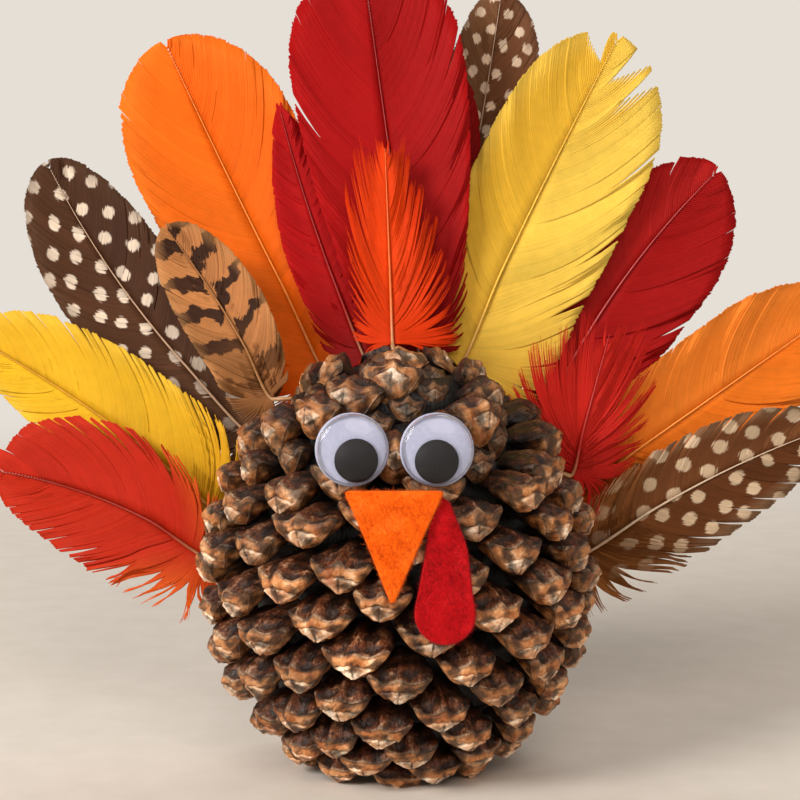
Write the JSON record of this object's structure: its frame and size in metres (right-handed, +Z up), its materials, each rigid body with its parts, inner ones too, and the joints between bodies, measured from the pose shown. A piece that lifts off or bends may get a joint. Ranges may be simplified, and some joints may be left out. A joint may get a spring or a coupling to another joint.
{
  "type": "pine cone turkey figure",
  "caption": "Table-top turkey figure made from an upright pine cone with a fan of dyed and natural feathers, googly eyes with rolling pupils, a felt beak and a felt wattle.",
  "frame": {"origin": "centre of the flat trimmed stem end on the table", "axes": "+X to the right as seen from the front, -Y the way the face looks, +Z up the cone"},
  "size_m": [0.2071, 0.0915, 0.1808],
  "materials": {
    "cone_scale": "dry weathered scale",
    "cone_core": "rough woody core",
    "feather_shaft": "horny keratin",
    "vane_red": "dyed barbs",
    "vane_crimson": "dyed barbs",
    "vane_orange": "dyed barbs",
    "vane_yellow": "dyed barbs",
    "vane_spotted": "natural barbs with pale spots",
    "vane_barred": "natural barbs with dark bars",
    "felt_orange": "craft felt",
    "felt_red": "craft felt",
    "eye_white": "moulded",
    "eye_black": "moulded",
    "eye_clear": "clear moulded"
  },
  "bodies": {
    "figure": {"cone_rachis": "cone_core", "cone_tier_1": "cone_scale", "cone_tier_2": "cone_scale", "cone_tier_3": "cone_scale", "cone_tier_4": "cone_scale", "cone_tier_5": "cone_scale", "cone_tier_6": "cone_scale", "cone_tier_7": "cone_scale", "cone_tier_8": "cone_scale", "cone_tier_9": "cone_scale", "shaft_red_low_left": "feather_shaft", "vane_red_low_left": "vane_red", "shaft_yellow_left": "feather_shaft", "vane_yellow_left": "vane_yellow", "shaft_spotted_left": "feather_shaft", "vane_spotted_left": "vane_spotted", "shaft_barred_left": "feather_shaft", "vane_barred_left": "vane_barred", "shaft_orange_left": "feather_shaft", "vane_orange_left": "vane_orange", "shaft_crimson_left": "feather_shaft", "vane_crimson_left": "vane_crimson", "shaft_red_centre": "feather_shaft", "vane_red_centre": "vane_red", "shaft_crimson_centre": "feather_shaft", "vane_crimson_centre": "vane_crimson", "shaft_spotted_top": "feather_shaft", "vane_spotted_top": "vane_spotted", "shaft_orange_fluff": "feather_shaft", "vane_orange_fluff": "vane_orange", "shaft_yellow_right": "feather_shaft", "vane_yellow_right": "vane_yellow", "shaft_red_right": "feather_shaft", "vane_red_right": "vane_red", "shaft_red_fluff": "feather_shaft", "vane_red_fluff": "vane_red", "shaft_orange_right": "feather_shaft", "vane_orange_right": "vane_orange", "shaft_spotted_right": "feather_shaft", "vane_spotted_right": "vane_spotted", "eye_back_left": "eye_white", "eye_dome_left": "eye_clear", "eye_back_right": "eye_white", "eye_dome_right": "eye_clear", "beak": "felt_orange", "wattle": "felt_red"},
    "pupil_left": {"pupil_left": "eye_black"},
    "pupil_right": {"pupil_right": "eye_black"}
  },
  "joints": [
    {"name": "pupil_left_roll", "type": "hinge", "parent": "figure", "child": "pupil_left", "pos_m": [-0.0091, -0.0388, 0.07557], "axis": [0, -0.9903, 0.1392], "continuous": true},
    {"name": "pupil_right_roll", "type": "hinge", "parent": "figure", "child": "pupil_right", "pos_m": [0.0081, -0.04002, 0.0757], "axis": [0, -0.9903, 0.1392], "continuous": true}
  ]
}
